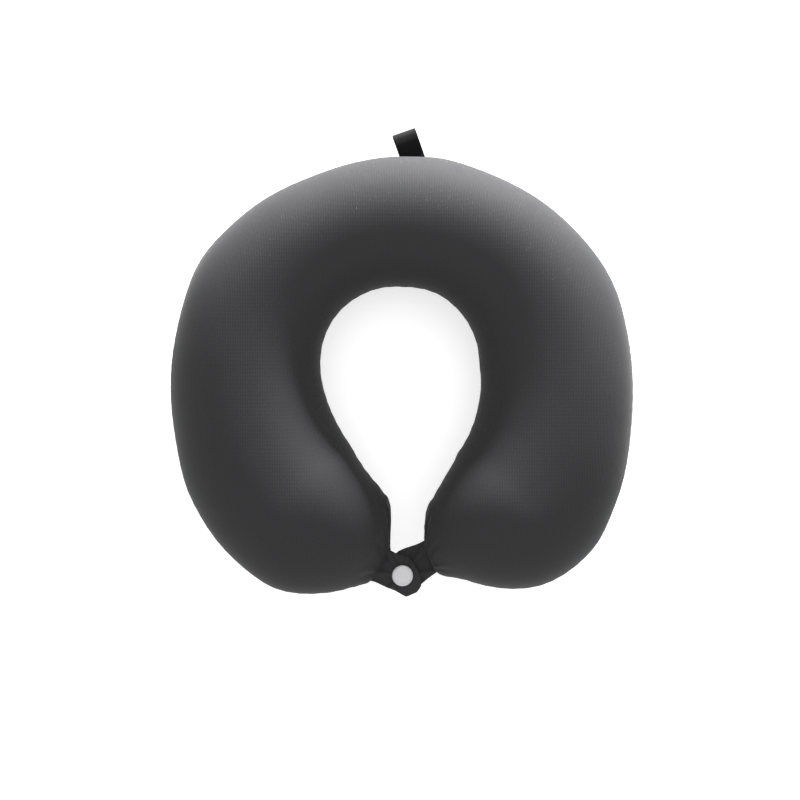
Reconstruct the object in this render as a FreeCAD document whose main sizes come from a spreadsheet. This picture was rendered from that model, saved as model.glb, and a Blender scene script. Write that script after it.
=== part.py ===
"""U shaped neck pillow: three stuffed lengths, two snap tabs, a hang loop and a zip.

Millimetres. +Z is up and the pillow lies flat on Z = 0. The origin is the middle of the neck
opening at floor level, +Y points to the back of the neck and the arms close at -Y.
The stuffed tube is lofted through upright oval sections that all stand in planes through Z.
"""
import FreeCAD, Part

import math
import os

import Sketcher
from FreeCAD import Placement, Rotation, Vector

DIMENSIONS = {
    # Middle of the tube at the back, and how far the middle line strays from that circle
    "ring_radius": 97.8,
    "joint_shift": -1.5,
    "side_shift": -3.5,
    "lobe_shift": 2.2,
    "tip_shift": 10.7,
    # Width of the tube, across from the neck side to the outer side
    "back_width": 80.4,
    "joint_width": 89.5,
    "side_width": 92.0,
    "lobe_width": 100.0,
    "tip_width": 19.0,
    # Heights above the floor, and how much of the fattest section the floor flattens away
    "back_height": 85.0,
    "joint_height": 85.5,
    "side_height": 86.0,
    "lobe_height": 87.0,
    "tip_thickness": 10.0,
    "base_cut": 3.0,
    # Where the sections stand, in degrees from +X towards +Y
    "back_end_angle": 50.0,
    "joint_angle": 20.0,
    "side_angle": -5.0,
    "lobe_angle": -45.0,
    "tip_angle": -84.0,
    "joint_gap_angle": 0.3,
    # Cloth
    "cover_wall": 1.5,
    "bag_wall": 0.8,
    # Tabs: a folded strip with an interlining inside, swinging on the line where it is sewn on
    "tab_wall": 1.6,
    "tab_root_width": 17.0,
    "tab_end_radius": 10.5,
    "tab_root_gap": 2.3,
    "right_tab_drop": 1.2,
    "interlining_wall": 0.5,
    "interlining_radius": 7.5,
    # Snap fastener, closed at rest
    "snap_y": -115.4,
    "snap_cap_radius": 6.3,
    "snap_cap_height": 2.2,
    "socket_radius": 5.7,
    "socket_height": 2.6,
    "socket_bore_radius": 2.8,
    "socket_roof": 0.6,
    "stud_radius": 5.4,
    "stud_flange": 0.7,
    "stud_head_radius": 2.1,
    "stud_head_height": 2.0,
    "snap_gap": 0.3,
    "post_radius": 1.2,
    "post_clearance": 0.1,
    # Hang loop of folded webbing, sewn in the seam at the back
    "loop_x": 5.8,
    "loop_width": 14.3,
    "loop_reach": 14.0,
    "webbing_wall": 1.4,
    "loop_root_radius": 1.6,
    "loop_bow_radius": 4.6,
    "loop_lean": 18.0,
    "loop_root_gap": 0.4,
    # Zip in the underside of the back
    "zip_slope": 28.0,
    "zip_angle": 80.0,
    "zip_half_slot": 5.0,
    "zip_half_gap": 0.55,
    "tape_wall": 0.5,
    "coil_width": 1.85,
    "coil_height": 1.4,
    "coil_inset_angle": 2.0,
    "stop_angle": 1.1,
    "slider_length": 8.0,
    "slider_half_width": 3.4,
    "slider_wall": 0.8,
    "slider_gap": 0.3,
    "slider_web": 0.5,
    "slider_inset_angle": 4.4,
    "bail_length": 4.2,
    "bail_width": 1.6,
    "bail_height": 2.6,
    "pin_radius": 0.6,
    "pin_clearance": 0.3,
    "puller_length": 19.0,
    "puller_width": 4.8,
    "puller_wall": 1.2,
    "puller_throat": 3.3,
}

# Share of the two half sizes in the arc radii of an oval whose arcs meet at 45 degrees
OVAL_LONG = math.cos(math.pi / 4) / (2 * math.cos(math.pi / 4) - 1)
OVAL_SHORT = OVAL_LONG - 1
ROOM = 1000.0
# How the lobe rounds off towards its tip: the neck side late, the outer side and the height sooner
INNER_CLOSING = 0.35
OUTER_CLOSING = 1.3
HEIGHT_CLOSING = 0.6
CLOSING_SHARES = (0.3, 0.55, 0.78)
BAG_END_SHARE = 0.96
FILL_END_SHARE = 0.93

doc = FreeCAD.newDocument("neck_pillow")
sheet = doc.addObject("Spreadsheet::Sheet", "dims")
for row, (name, number) in enumerate(DIMENSIONS.items(), start=1):
    sheet.set(f"A{row}", name)
    sheet.set(f"B{row}", str(number))
    sheet.setAlias(f"B{row}", name)
doc.recompute()

nodes = []


def value(expression):
    """Number that an expression on the sheet gives."""
    return float(sheet.evalExpression(str(expression)))


# Sizes worked out from the sheet, as expressions ------------------------------------------------

SEAM = "((dims.lobe_height - dims.base_cut) / 2)"
TIP_RADIUS = "(dims.ring_radius + dims.tip_shift)"


def middle(name):
    """Radius of the middle line at the named section."""
    shift = "" if name == "back" else f" + dims.{name}_shift"
    return f"(dims.ring_radius{shift})"


def inner(name):
    """Radius of the neck side at the named section."""
    return f"({middle(name)} - dims.{name}_width / 2)"


def outer(name):
    """Radius of the outer side at the named section."""
    return f"({middle(name)} + dims.{name}_width / 2)"


def half_height(name):
    """Half the height of the section whose top stands at the named height."""
    return f"(dims.{name}_height - {SEAM})"


def between(start, end, share):
    """Value part of the way from start to end."""
    return f"({start} + ({end} - {start}) * {share:.4f})"


# Sketches and features --------------------------------------------------------------------------

def new_body(label, placement=None):
    """PartDesign body with its own label, placed by an expression."""
    body = doc.addObject("PartDesign::Body", label)
    body.Label = label
    if placement:
        body.setExpression("Placement", placement)
    return body


def turned(angle, place="vector(0; 0; 0)"):
    """Placement turned about Z by an angle in degrees."""
    return f"placement({place}; rotation(vector(0; 0; 1); {angle}))"


def origin_feature(body, role):
    """One of the body's own origin planes or axes."""
    return next(feature for feature in body.Origin.OriginFeatures if feature.Role == role)


def new_sketch(body, role, offset=None):
    """Sketch on one of the body's own origin planes, moved in that plane by an expression."""
    sketch = body.newObject("Sketcher::SketchObject", f"{body.Label}_sketch")
    sketch.AttachmentSupport = [(origin_feature(body, role), "")]
    sketch.MapMode = "FlatFace"
    if offset:
        sketch.setExpression("AttachmentOffset", offset)
    return sketch


def constrain(sketch, kind, places, expression):
    """Add a dimension and bind it to an expression."""
    index = sketch.addConstraint(Sketcher.Constraint(kind, *places, value(expression)))
    name = f"{kind.lower()}_{index}"
    sketch.renameConstraint(index, name)
    sketch.setExpression(f"Constraints.{name}", expression)


def pin_point(sketch, geometry, end, x, y):
    """Hold one point of a sketch element at (x, y), both expressions."""
    constrain(sketch, "DistanceX", (-1, 1, geometry, end), x)
    constrain(sketch, "DistanceY", (-1, 1, geometry, end), y)


def join_ends(sketch, count):
    """Join the end of each element to the start of the next, round the outline."""
    for index in range(count):
        following = (index + 1) % count
        sketch.addConstraint(Sketcher.Constraint("Coincident", index, 2, following, 1))


def add_polygon(sketch, points):
    """Closed outline of straight lines through points given as pairs of expressions."""
    corners = [Vector(value(x), value(y), 0) for x, y in points]
    for start, end in zip(corners, corners[1:] + corners[:1]):
        sketch.addGeometry(Part.LineSegment(start, end), False)
    join_ends(sketch, len(points))
    for index, (x, y) in enumerate(points):
        pin_point(sketch, index, 1, x, y)


def add_rectangle(sketch, left, right, low, high):
    """Rectangle between four expressions."""
    add_polygon(sketch, [(left, low), (right, low), (right, high), (left, high)])


def add_circle(sketch, x, y, radius):
    """Circle whose centre and radius are expressions."""
    shape = Part.Circle(Vector(value(x), value(y), 0), Vector(0, 0, 1), value(radius))
    index = sketch.addGeometry(shape, False)
    pin_point(sketch, index, 3, x, y)
    constrain(sketch, "Radius", (index,), radius)


def new_arc(x, y, radius, start, end):
    """Arc of a circle between two angles in degrees."""
    whole = Part.Circle(Vector(x, y, 0), Vector(0, 0, 1), radius)
    return Part.ArcOfCircle(whole, math.radians(start), math.radians(end))


def side_radius(half_width, half_up):
    """Arc radius at the two sides of an oval."""
    return f"({OVAL_LONG:.6f} * {half_up} - {OVAL_SHORT:.6f} * {half_width})"


def add_oval(sketch, x, y, half_width, half_up):
    """Four arcs that meet tangent at 45 degrees, wide or tall."""
    side = side_radius(half_width, half_up)
    crown = side_radius(half_up, half_width)
    reach_x = value(half_width) - value(side)
    reach_y = value(half_up) - value(crown)
    for index in range(4):
        radius = value(crown) if index % 2 else value(side)
        turn = math.radians(90 * index)
        centre_x = value(x) + reach_x * round(math.cos(turn))
        centre_y = value(y) + reach_y * round(math.sin(turn))
        start = 90 * index - 45
        sketch.addGeometry(new_arc(centre_x, centre_y, radius, start, start + 90), False)
    join_ends(sketch, 4)
    corner = math.cos(math.pi / 4)
    for index, (sign_x, sign_y) in enumerate([("+", "+"), ("-", "+"), ("-", "-"), ("+", "-")]):
        join_x = f"({x} {sign_x} {corner:.6f} * {crown})"
        join_y = f"({y} {sign_y} {corner:.6f} * {side})"
        pin_point(sketch, index, 2, join_x, join_y)
        constrain(sketch, "Radius", (index,), crown if index % 2 else side)


def pad(body, sketch, length, direction=None):
    """Pad a sketch by an expression, half to each side of it unless a direction is given."""
    feature = body.newObject("PartDesign::Pad", f"{body.Label}_pad")
    feature.Profile = sketch
    feature.setExpression("Length", length)
    if direction:
        feature.UseCustomVector = True
        feature.Direction = direction
    feature.Midplane = direction is None
    return feature


def pocket(body, sketch, length):
    """Cut a sketch out of the body, half of the length to each side of it."""
    feature = body.newObject("PartDesign::Pocket", f"{body.Label}_pocket")
    feature.Profile = sketch
    feature.setExpression("Length", length)
    feature.Midplane = True
    return feature


def revolve(body, sketch, angle):
    """Turn a sketch about the body's Z axis, half of the angle to each side of it."""
    feature = body.newObject("PartDesign::Revolution", f"{body.Label}_revolution")
    feature.Profile = sketch
    feature.ReferenceAxis = (origin_feature(body, "Z_Axis"), [""])
    feature.setExpression("Angle", angle)
    feature.Midplane = True
    return feature


def combine(kind, label, first, second):
    """Boolean of two objects, kind Cut or Common."""
    result = doc.addObject(f"Part::{kind}", label)
    result.Label = label
    result.Base = first
    result.Tool = second
    return result


def level_box(label, low, high):
    """Wide box between two levels, for splitting the tube."""
    box = doc.addObject("Part::Box", label)
    box.Label = label
    box.Length = 2 * ROOM
    box.Width = 2 * ROOM
    box.setExpression("Height", f"{high} - {low}")
    box.setExpression("Placement", f"placement(vector({-ROOM}; {-ROOM}; {low}); rotation(0; 0; 0))")
    return box


# Stuffed tube -----------------------------------------------------------------------------------

def named_station(name, angle):
    """Section with the sizes of one name, at an angle."""
    return angle, inner(name), outer(name), half_height(name)


def partway_station(first, second, angle, share):
    """Section part of the way from one named section to another."""
    return (
        angle,
        between(inner(first), inner(second), share),
        between(outer(first), outer(second), share),
        between(half_height(first), half_height(second), share),
    )


def closing_station(share):
    """Section on the rounding of the lobe, share 0 at its widest and 1 at the tip."""
    left = max(math.cos(math.radians(90 * share)), 0.0)
    return (
        between("dims.lobe_angle", "dims.tip_angle", share),
        between(inner("lobe"), inner("tip"), 1 - left ** INNER_CLOSING),
        between(outer("lobe"), outer("tip"), 1 - left ** OUTER_CLOSING),
        between("(dims.tip_thickness / 2)", half_height("lobe"), left ** HEIGHT_CLOSING),
    )


def back_stations():
    """Sections round the back, from one joint to the other."""
    shoulder = between("dims.back_end_angle", "dims.joint_angle", 0.5)
    quarter = between("dims.back_end_angle", "90", 0.5)
    return [
        named_station("joint", "(180 - dims.joint_angle)"),
        partway_station("back", "joint", f"(180 - {shoulder})", 0.5),
        named_station("back", "(180 - dims.back_end_angle)"),
        named_station("back", f"(180 - {quarter})"),
        named_station("back", "90"),
        named_station("back", quarter),
        named_station("back", "dims.back_end_angle"),
        partway_station("back", "joint", shoulder, 0.5),
        named_station("joint", "dims.joint_angle"),
    ]


def arm_stations(end_share):
    """Sections down the right arm, from the joint to its end."""
    before_side = between("dims.joint_angle", "dims.side_angle", 0.5)
    side_to_lobe = [
        partway_station("side", "lobe", between("dims.side_angle", "dims.lobe_angle", share), share)
        for share in (0, 1 / 3, 2 / 3, 1)
    ]
    return [
        named_station("joint", "(dims.joint_angle - dims.joint_gap_angle)"),
        partway_station("joint", "side", before_side, 0.5),
        *side_to_lobe,
        *[closing_station(share) for share in CLOSING_SHARES],
        closing_station(end_share),
    ]


def tube_form(label, stations, inset):
    """Body lofted through upright ovals, each drawn in a plane through Z."""
    body = new_body(label)
    sections = []
    for angle, inner_side, outer_side, half_up in stations:
        offset = f"placement(vector(0; 0; 0); rotation(vector(0; 1; 0); {angle}))"
        sketch = new_sketch(body, "XZ_Plane", offset)
        centre = f"(({outer_side} + {inner_side}) / 2)"
        half_width = f"(({outer_side} - {inner_side}) / 2 - {inset})"
        add_oval(sketch, centre, SEAM, half_width, f"({half_up} - {inset})")
        sections.append(sketch)
    loft = body.newObject("PartDesign::AdditiveLoft", f"{label}_loft")
    loft.Profile = sections[0]
    loft.Sections = sections[1:]
    return body


def tube_layers(label, cover_stations, bag_stations, fill_stations, under="cover_bottom"):
    """Fill, inner bag and the two cover panels of one length of the pillow."""
    outside = tube_form(f"{label}_outside", cover_stations, "0")
    bag_form = tube_form(f"{label}_bag_form", bag_stations, "dims.cover_wall")
    fill_form = tube_form(f"{label}_fill_form", fill_stations, "(dims.cover_wall + dims.bag_wall)")
    bag_whole = combine("Common", f"{label}_bag_whole", bag_form, above_cover)
    fill = combine("Common", f"{label}_fill", fill_form, above_bag)
    bag = combine("Cut", f"{label}_inner_bag", bag_whole, fill)
    shell = combine("Cut", f"{label}_cover_shell", outside, bag_whole)
    top = combine("Common", f"{label}_cover_top", shell, above_seam)
    bottom = combine("Common", f"{label}_{under}", shell, below_seam)
    return fill, bag, top, bottom


def mirrored(source, label):
    """Copy of an object on the other side of the YZ plane."""
    mirror = doc.addObject("Part::Mirroring", label)
    mirror.Label = label
    mirror.Source = source
    mirror.Normal = Vector(1, 0, 0)
    return mirror


above_seam = level_box("above_seam", SEAM, ROOM)
below_seam = level_box("below_seam", "0", SEAM)
above_cover = level_box("above_cover", "dims.cover_wall", ROOM)
above_bag = level_box("above_bag", "(dims.cover_wall + dims.bag_wall)", ROOM)

back_layers = tube_layers("back", *3 * [back_stations()], under="uncut_panel")
back_fill, back_bag, back_cover_top, back_panel = back_layers
nodes += [back_fill, back_bag, back_cover_top]

arm_layers = tube_layers(
    "right_arm", arm_stations(1), arm_stations(BAG_END_SHARE), arm_stations(FILL_END_SHARE)
)
for layer in arm_layers:
    nodes += [layer, mirrored(layer, layer.Label.replace("right", "left"))]


# Zip --------------------------------------------------------------------------------------------
# Drawn square to the surface: sketch X points straight out of the cover and Y up along it, from
# the centre of the arc that the cover follows there.

ZIP_RADIUS = side_radius("(dims.back_width / 2)", half_height("back"))
ZIP_CENTRE = f"({outer('back')} - {ZIP_RADIUS})"
ZIP_FLAT = f"placement(vector({ZIP_CENTRE}; {SEAM}; 0); rotation(vector(0; 0; 1); -dims.zip_slope))"
TAPE_TOP = f"({ZIP_RADIUS} + dims.tape_wall)"
COIL_TOP = f"({TAPE_TOP} + dims.coil_height)"


def zip_arc(label, angle, span, left, right, low, high):
    """Strip that follows the back, centred at an angle and spanning another."""
    body = new_body(label, turned(angle))
    sketch = new_sketch(body, "XZ_Plane", ZIP_FLAT)
    add_rectangle(sketch, left, right, low, high)
    revolve(body, sketch, span)
    return body


slot = zip_arc(
    "zip_slot", "90", "dims.zip_angle", f"({ZIP_RADIUS} - 2 * dims.cover_wall)", f"({COIL_TOP} + 1)",
    "-dims.zip_half_slot", "dims.zip_half_slot"
)
nodes.append(combine("Cut", "back_cover_bottom", back_panel, slot))

COIL_SPAN = "(dims.zip_angle - 2 * dims.coil_inset_angle)"
COIL_EDGE = "(dims.zip_half_gap + dims.coil_width)"
nodes += [
    zip_arc("zip_upper_tape", "90", "dims.zip_angle", ZIP_RADIUS, TAPE_TOP,
            "dims.zip_half_gap", "dims.zip_half_slot"),
    zip_arc("zip_lower_tape", "90", "dims.zip_angle", ZIP_RADIUS, TAPE_TOP,
            "-dims.zip_half_slot", "-dims.zip_half_gap"),
    zip_arc("zip_upper_coil", "90", COIL_SPAN, TAPE_TOP, COIL_TOP, "dims.zip_half_gap", COIL_EDGE),
    zip_arc("zip_lower_coil", "90", COIL_SPAN, TAPE_TOP, COIL_TOP, f"-{COIL_EDGE}",
            "-dims.zip_half_gap"),
]
STOP_PLACE = "(dims.zip_angle / 2 - dims.coil_inset_angle / 2)"
nodes += [
    zip_arc("zip_closed_end_stop", f"(90 + {STOP_PLACE})", "dims.stop_angle", TAPE_TOP, COIL_TOP,
            f"-{COIL_EDGE}", COIL_EDGE),
    zip_arc("zip_open_end_stop", f"(90 - {STOP_PLACE})", "dims.stop_angle", TAPE_TOP, COIL_TOP,
            f"-{COIL_EDGE}", COIL_EDGE),
]

SLIDER_ANGLE = "(90 + dims.zip_angle / 2 - dims.slider_inset_angle)"
SLIDER_PLACE = (
    f"{turned(SLIDER_ANGLE)}"
    f" * placement(vector({ZIP_CENTRE}; 0; {SEAM}); rotation(vector(0; 1; 0); dims.zip_slope))"
)
PLATE_LOW = f"({ZIP_RADIUS} - dims.slider_gap - dims.slider_wall)"
PLATE_FLOOR = f"({ZIP_RADIUS} - dims.slider_gap)"
FLANGE_LOW = f"({TAPE_TOP} + dims.slider_gap)"
ROOF_LOW = f"({COIL_TOP} + dims.slider_gap)"
ROOF_TOP = f"({ROOF_LOW} + dims.slider_wall)"
PIN_LEVEL = f"({ROOF_TOP} + dims.bail_height / 2)"


def zip_slider():
    """Two plates held by a thin web that runs between the coils, with a bail for the puller."""
    body = new_body("zip_slider", SLIDER_PLACE)
    edge = "dims.slider_half_width"
    inside = "(dims.slider_half_width - dims.slider_wall)"
    web = "(dims.slider_web / 2)"
    low_side = [
        (PLATE_LOW, edge), (PLATE_FLOOR, edge), (PLATE_FLOOR, web), (ROOF_LOW, web),
        (ROOF_LOW, inside), (FLANGE_LOW, inside), (FLANGE_LOW, edge), (ROOF_TOP, edge),
    ]
    outline = [(x, f"-{y}") for x, y in low_side] + low_side[::-1]
    profile = new_sketch(body, "XZ_Plane")
    add_polygon(profile, outline)
    pad(body, profile, "dims.slider_length")
    bail = new_sketch(body, "XY_Plane")
    add_rectangle(bail, ROOF_TOP, f"({ROOF_TOP} + dims.bail_height)",
                  "-dims.bail_length / 2", "dims.bail_length / 2")
    add_circle(bail, PIN_LEVEL, "0", "(dims.pin_radius + dims.pin_clearance)")
    pad(body, bail, "dims.bail_width")
    return body


def zip_puller():
    """Flat tab with a cross pin held in the slider's bail."""
    body = new_body("zip_puller", SLIDER_PLACE)
    low = f"({PIN_LEVEL} - dims.puller_wall / 2)"
    high = f"({PIN_LEVEL} + dims.puller_wall / 2)"
    plate = new_sketch(body, "XY_Plane")
    add_rectangle(plate, low, high, "-dims.puller_length", "0")
    pad(body, plate, "dims.puller_width")
    throat = new_sketch(body, "XY_Plane")
    add_rectangle(throat, f"({low} - 1)", f"({high} + 1)", "-dims.puller_throat", "1")
    pocket(body, throat, "(dims.bail_width + 2 * dims.pin_clearance)")
    pin = new_sketch(body, "XY_Plane")
    add_circle(pin, PIN_LEVEL, "0", "dims.pin_radius")
    pad(body, pin, "dims.puller_width")
    return body


nodes += [zip_slider(), zip_puller()]


# Hang loop --------------------------------------------------------------------------------------

LOOP_Y = f"({outer('back')} + dims.loop_root_gap + dims.loop_root_radius)"


def add_teardrop(sketch, start, start_radius, end, end_radius):
    """Two round ends of different radius joined by tangent lines, along sketch X."""
    near = value(start)
    far = value(end)
    small = value(start_radius)
    big = value(end_radius)
    tilt = math.degrees(math.asin((big - small) / (far - near)))
    lean = math.radians(90 + tilt)
    upper = [Vector(near + small * math.cos(lean), small * math.sin(lean), 0),
             Vector(far + big * math.cos(lean), big * math.sin(lean), 0)]
    lower = [Vector(point.x, -point.y, 0) for point in upper]
    first = sketch.GeometryCount
    sketch.addGeometry(new_arc(near, 0, small, 90 + tilt, 270 - tilt), False)
    sketch.addGeometry(Part.LineSegment(lower[0], lower[1]), False)
    sketch.addGeometry(new_arc(far, 0, big, -90 - tilt, 90 + tilt), False)
    sketch.addGeometry(Part.LineSegment(upper[1], upper[0]), False)
    for index in range(4):
        following = first + (index + 1) % 4
        sketch.addConstraint(Sketcher.Constraint("Tangent", first + index, 2, following, 1))
    pin_point(sketch, first, 3, start, "0")
    pin_point(sketch, first + 2, 3, end, "0")
    constrain(sketch, "Radius", (first,), start_radius)
    constrain(sketch, "Radius", (first + 2,), end_radius)


def hang_loop():
    """Folded webbing: two legs pinched together at the seam and a round bow at the end."""
    body = new_body("hang_loop", f"placement(vector(dims.loop_x; {LOOP_Y}; {SEAM}); rotation(0; 0; 0))")
    leaning = "placement(vector(0; 0; 0); rotation(vector(0; 1; 0); dims.loop_lean))"
    sketch = new_sketch(body, "YZ_Plane", leaning)
    bow_centre = "(dims.loop_reach - dims.loop_bow_radius)"
    bow_inside = "(dims.loop_bow_radius - dims.webbing_wall)"
    add_teardrop(sketch, "0", "dims.loop_root_radius", bow_centre, "dims.loop_bow_radius")
    add_teardrop(sketch, "(2 * dims.loop_root_radius)", "(dims.loop_root_radius / 3)",
                 bow_centre, bow_inside)
    pad(body, sketch, "dims.loop_width", Vector(1, 0, 0))
    return body


nodes.append(hang_loop())


# Tabs and snap fastener -------------------------------------------------------------------------
# A tab is drawn in a frame turned to its arm's tip: X is the radius and Y runs round the ring.

RIGHT_LEVEL = f"({SEAM} - dims.right_tab_drop)"
STUD_LEVEL = f"({RIGHT_LEVEL} + dims.tab_wall / 2)"
SOCKET_LEVEL = f"({STUD_LEVEL} + dims.stud_flange + dims.snap_gap)"
LEFT_LOWER = f"({SOCKET_LEVEL} + dims.socket_height)"
LEFT_LEVEL = f"({LEFT_LOWER} + dims.tab_wall / 2)"
SNAP_ALONG = "(dims.snap_y * sin(dims.tip_angle))"
SNAP_ROUND = "(-dims.snap_y * cos(dims.tip_angle))"
POST_HOLE = "(dims.post_radius + dims.post_clearance)"


def snap_tab(label, angle, level, sign):
    """Rounded cloth tab with a closed pocket for the interlining and a hole for the post."""
    body = new_body(label, turned(angle, f"vector(0; 0; {level})"))
    root = f"({sign} * dims.tab_root_gap)"
    snap = f"({sign} * {SNAP_ROUND})"
    root_high = f"({TIP_RADIUS} + dims.tab_root_width / 2)"
    root_low = f"({TIP_RADIUS} - dims.tab_root_width / 2)"
    end_high = f"({SNAP_ALONG} + dims.tab_end_radius)"
    end_low = f"({SNAP_ALONG} - dims.tab_end_radius)"
    points = [(root_low, root), (root_high, root), (end_high, snap), (end_low, snap)]
    if sign < 0:
        points = [points[1], points[0], points[3], points[2]]
    corners = [Vector(value(x), value(y), 0) for x, y in points]
    outline = new_sketch(body, "XY_Plane")
    outline.addGeometry(Part.LineSegment(corners[0], corners[1]), False)
    outline.addGeometry(Part.LineSegment(corners[1], corners[2]), False)
    start = 0 if sign > 0 else 180
    end_arc = new_arc(value(SNAP_ALONG), value(snap), value("dims.tab_end_radius"), start, start + 180)
    outline.addGeometry(end_arc, False)
    outline.addGeometry(Part.LineSegment(corners[3], corners[0]), False)
    join_ends(outline, 4)
    for index, (x, y) in enumerate(points):
        pin_point(outline, index, 1, x, y)
    constrain(outline, "DistanceY", (-1, 1, 2, 3), snap)
    pad(body, outline, "dims.tab_wall")
    room = new_sketch(body, "XY_Plane")
    add_circle(room, SNAP_ALONG, snap, "dims.interlining_radius")
    pocket(body, room, "dims.interlining_wall")
    hole = new_sketch(body, "XY_Plane")
    add_circle(hole, SNAP_ALONG, snap, POST_HOLE)
    pocket(body, hole, "(2 * dims.tab_wall)")
    return body


def turned_piece(label, level, points):
    """Piece turned about the snap's axis from an outline of radius and height."""
    body = new_body(label, f"placement(vector(0; dims.snap_y; {level}); rotation(0; 0; 0))")
    sketch = new_sketch(body, "XZ_Plane")
    add_polygon(sketch, points)
    revolve(body, sketch, "360")
    return body


def interlining(label, level):
    """Stiff washer sewn inside a tab."""
    high = "(dims.interlining_wall / 2)"
    low = f"-{high}"
    edge = "dims.interlining_radius"
    return turned_piece(label, level, [(POST_HOLE, low), (edge, low), (edge, high), (POST_HOLE, high)])


def post_cap(label, level, sign, post_length):
    """Domed disc on the outside of a tab with a post through the cloth."""
    rim = f"({sign} * dims.snap_cap_height / 2)"
    crown = f"({sign} * dims.snap_cap_height)"
    post_end = f"({-sign} * {post_length})"
    edge = "dims.snap_cap_radius"
    return turned_piece(label, level, [
        ("0", post_end), ("dims.post_radius", post_end), ("dims.post_radius", "0"), (edge, "0"),
        (edge, rim), (f"({edge} * 0.8)", crown), ("0", crown),
    ])


def snap_socket():
    """Ring that grips the stud, open downwards."""
    roof = "(dims.socket_height - dims.socket_roof)"
    return turned_piece("snap_socket", SOCKET_LEVEL, [
        ("dims.socket_bore_radius", "0"), ("dims.socket_radius", "0"),
        ("dims.socket_radius", "dims.socket_height"), (POST_HOLE, "dims.socket_height"),
        (POST_HOLE, roof), ("dims.socket_bore_radius", roof),
    ])


def snap_stud():
    """Flanged stud with a rounded head and a hole for the post of the cap below."""
    shoulder = "(dims.stud_flange + dims.stud_head_height * 0.6)"
    crown = "(dims.stud_flange + dims.stud_head_height)"
    hole_top = "(dims.stud_flange + dims.stud_head_height * 0.4)"
    return turned_piece("snap_stud", STUD_LEVEL, [
        (POST_HOLE, "0"), ("dims.stud_radius", "0"), ("dims.stud_radius", "dims.stud_flange"),
        ("dims.stud_head_radius", "dims.stud_flange"), ("dims.stud_head_radius", shoulder),
        ("(dims.stud_head_radius * 0.7)", crown), ("0", crown), ("0", hole_top), (POST_HOLE, hole_top),
    ])


RIGHT_UNDERSIDE = f"({RIGHT_LEVEL} - dims.tab_wall / 2)"
LEFT_TOP = f"({LEFT_LEVEL} + dims.tab_wall / 2)"
CAP_POST = "(dims.tab_wall + dims.socket_roof * 0.8)"
BACK_CAP_POST = "(dims.tab_wall + dims.stud_flange)"
nodes += [
    snap_tab("left_tab", "(180 - dims.tip_angle)", LEFT_LEVEL, 1),
    interlining("left_tab_interlining", LEFT_LEVEL),
    post_cap("snap_cap", LEFT_TOP, 1, CAP_POST),
    snap_socket(),
    snap_tab("right_tab", "dims.tip_angle", RIGHT_LEVEL, -1),
    interlining("right_tab_interlining", RIGHT_LEVEL),
    snap_stud(),
    post_cap("snap_back_cap", RIGHT_UNDERSIDE, -1, BACK_CAP_POST),
]


# Check and write --------------------------------------------------------------------------------

def check_document():
    """Stop if any object failed or any piece isn't one valid solid or more."""
    for item in doc.Objects:
        if "Invalid" in item.State or "Error" in item.State:
            raise RuntimeError(f"{item.Label} failed: {item.State}")
    for node in nodes:
        shape = node.Shape
        if shape.isNull() or not shape.isValid() or not shape.Solids:
            raise RuntimeError(f"{node.Label} has no valid solid")


doc.recompute()
check_document()
os.makedirs("parts", exist_ok=True)
for node in nodes:
    node.Shape.exportStep(f"parts/{node.Label}.step")
    print(node.Label, len(node.Shape.Solids), round(node.Shape.Volume))
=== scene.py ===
"""Looks of the U shaped neck pillow: cover panels, filling, tabs, snap, hang loop and zip."""

import math

import bmesh
import bpy
import numpy as np
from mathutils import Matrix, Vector


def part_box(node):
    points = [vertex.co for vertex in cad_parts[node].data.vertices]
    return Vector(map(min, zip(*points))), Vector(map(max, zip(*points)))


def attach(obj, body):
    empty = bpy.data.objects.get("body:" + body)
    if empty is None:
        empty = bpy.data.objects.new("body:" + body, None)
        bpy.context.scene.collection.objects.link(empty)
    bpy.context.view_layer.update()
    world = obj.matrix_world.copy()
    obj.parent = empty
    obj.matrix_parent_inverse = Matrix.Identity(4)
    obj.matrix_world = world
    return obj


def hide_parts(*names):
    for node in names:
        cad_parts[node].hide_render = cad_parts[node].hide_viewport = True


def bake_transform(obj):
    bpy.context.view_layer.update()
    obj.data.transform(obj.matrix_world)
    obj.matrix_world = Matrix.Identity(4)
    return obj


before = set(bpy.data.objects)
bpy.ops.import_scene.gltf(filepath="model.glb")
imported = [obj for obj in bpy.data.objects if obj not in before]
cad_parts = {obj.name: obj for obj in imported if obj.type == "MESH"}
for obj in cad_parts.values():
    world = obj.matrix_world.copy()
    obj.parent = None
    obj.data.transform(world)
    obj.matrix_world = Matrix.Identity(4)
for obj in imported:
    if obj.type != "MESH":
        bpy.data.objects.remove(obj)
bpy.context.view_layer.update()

bl_info = {
    "name": "Neck Pillow",
    "version": (1, 0, 0),
    "blender": (4, 5, 0),
    "location": "View3D > Sidebar > Neck Pillow",
    "description": "Builds the cloth, filling and fittings of a neck pillow round its packed frame",
    "category": "Object",
}

MM = 0.001
SIDES = ("left", "right")

# The seam that joins the two panels, and the levels of the tabs, from the frame
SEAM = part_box("back_cover_top")[0].z
BACK_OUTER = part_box("back_cover_top")[1].y
SNAP_LOW, SNAP_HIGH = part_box("snap_cap")
SNAP_CENTRE = (SNAP_LOW + SNAP_HIGH) / 2
SOCKET_LOW, SOCKET_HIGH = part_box("snap_socket")
STUD_LOW, STUD_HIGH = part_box("snap_stud")
BACK_CAP_LOW, BACK_CAP_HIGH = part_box("snap_back_cap")
LEFT_TAB_LOW, LEFT_TAB_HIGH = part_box("left_tab")
RIGHT_TAB_LOW, RIGHT_TAB_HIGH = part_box("right_tab")

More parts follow.
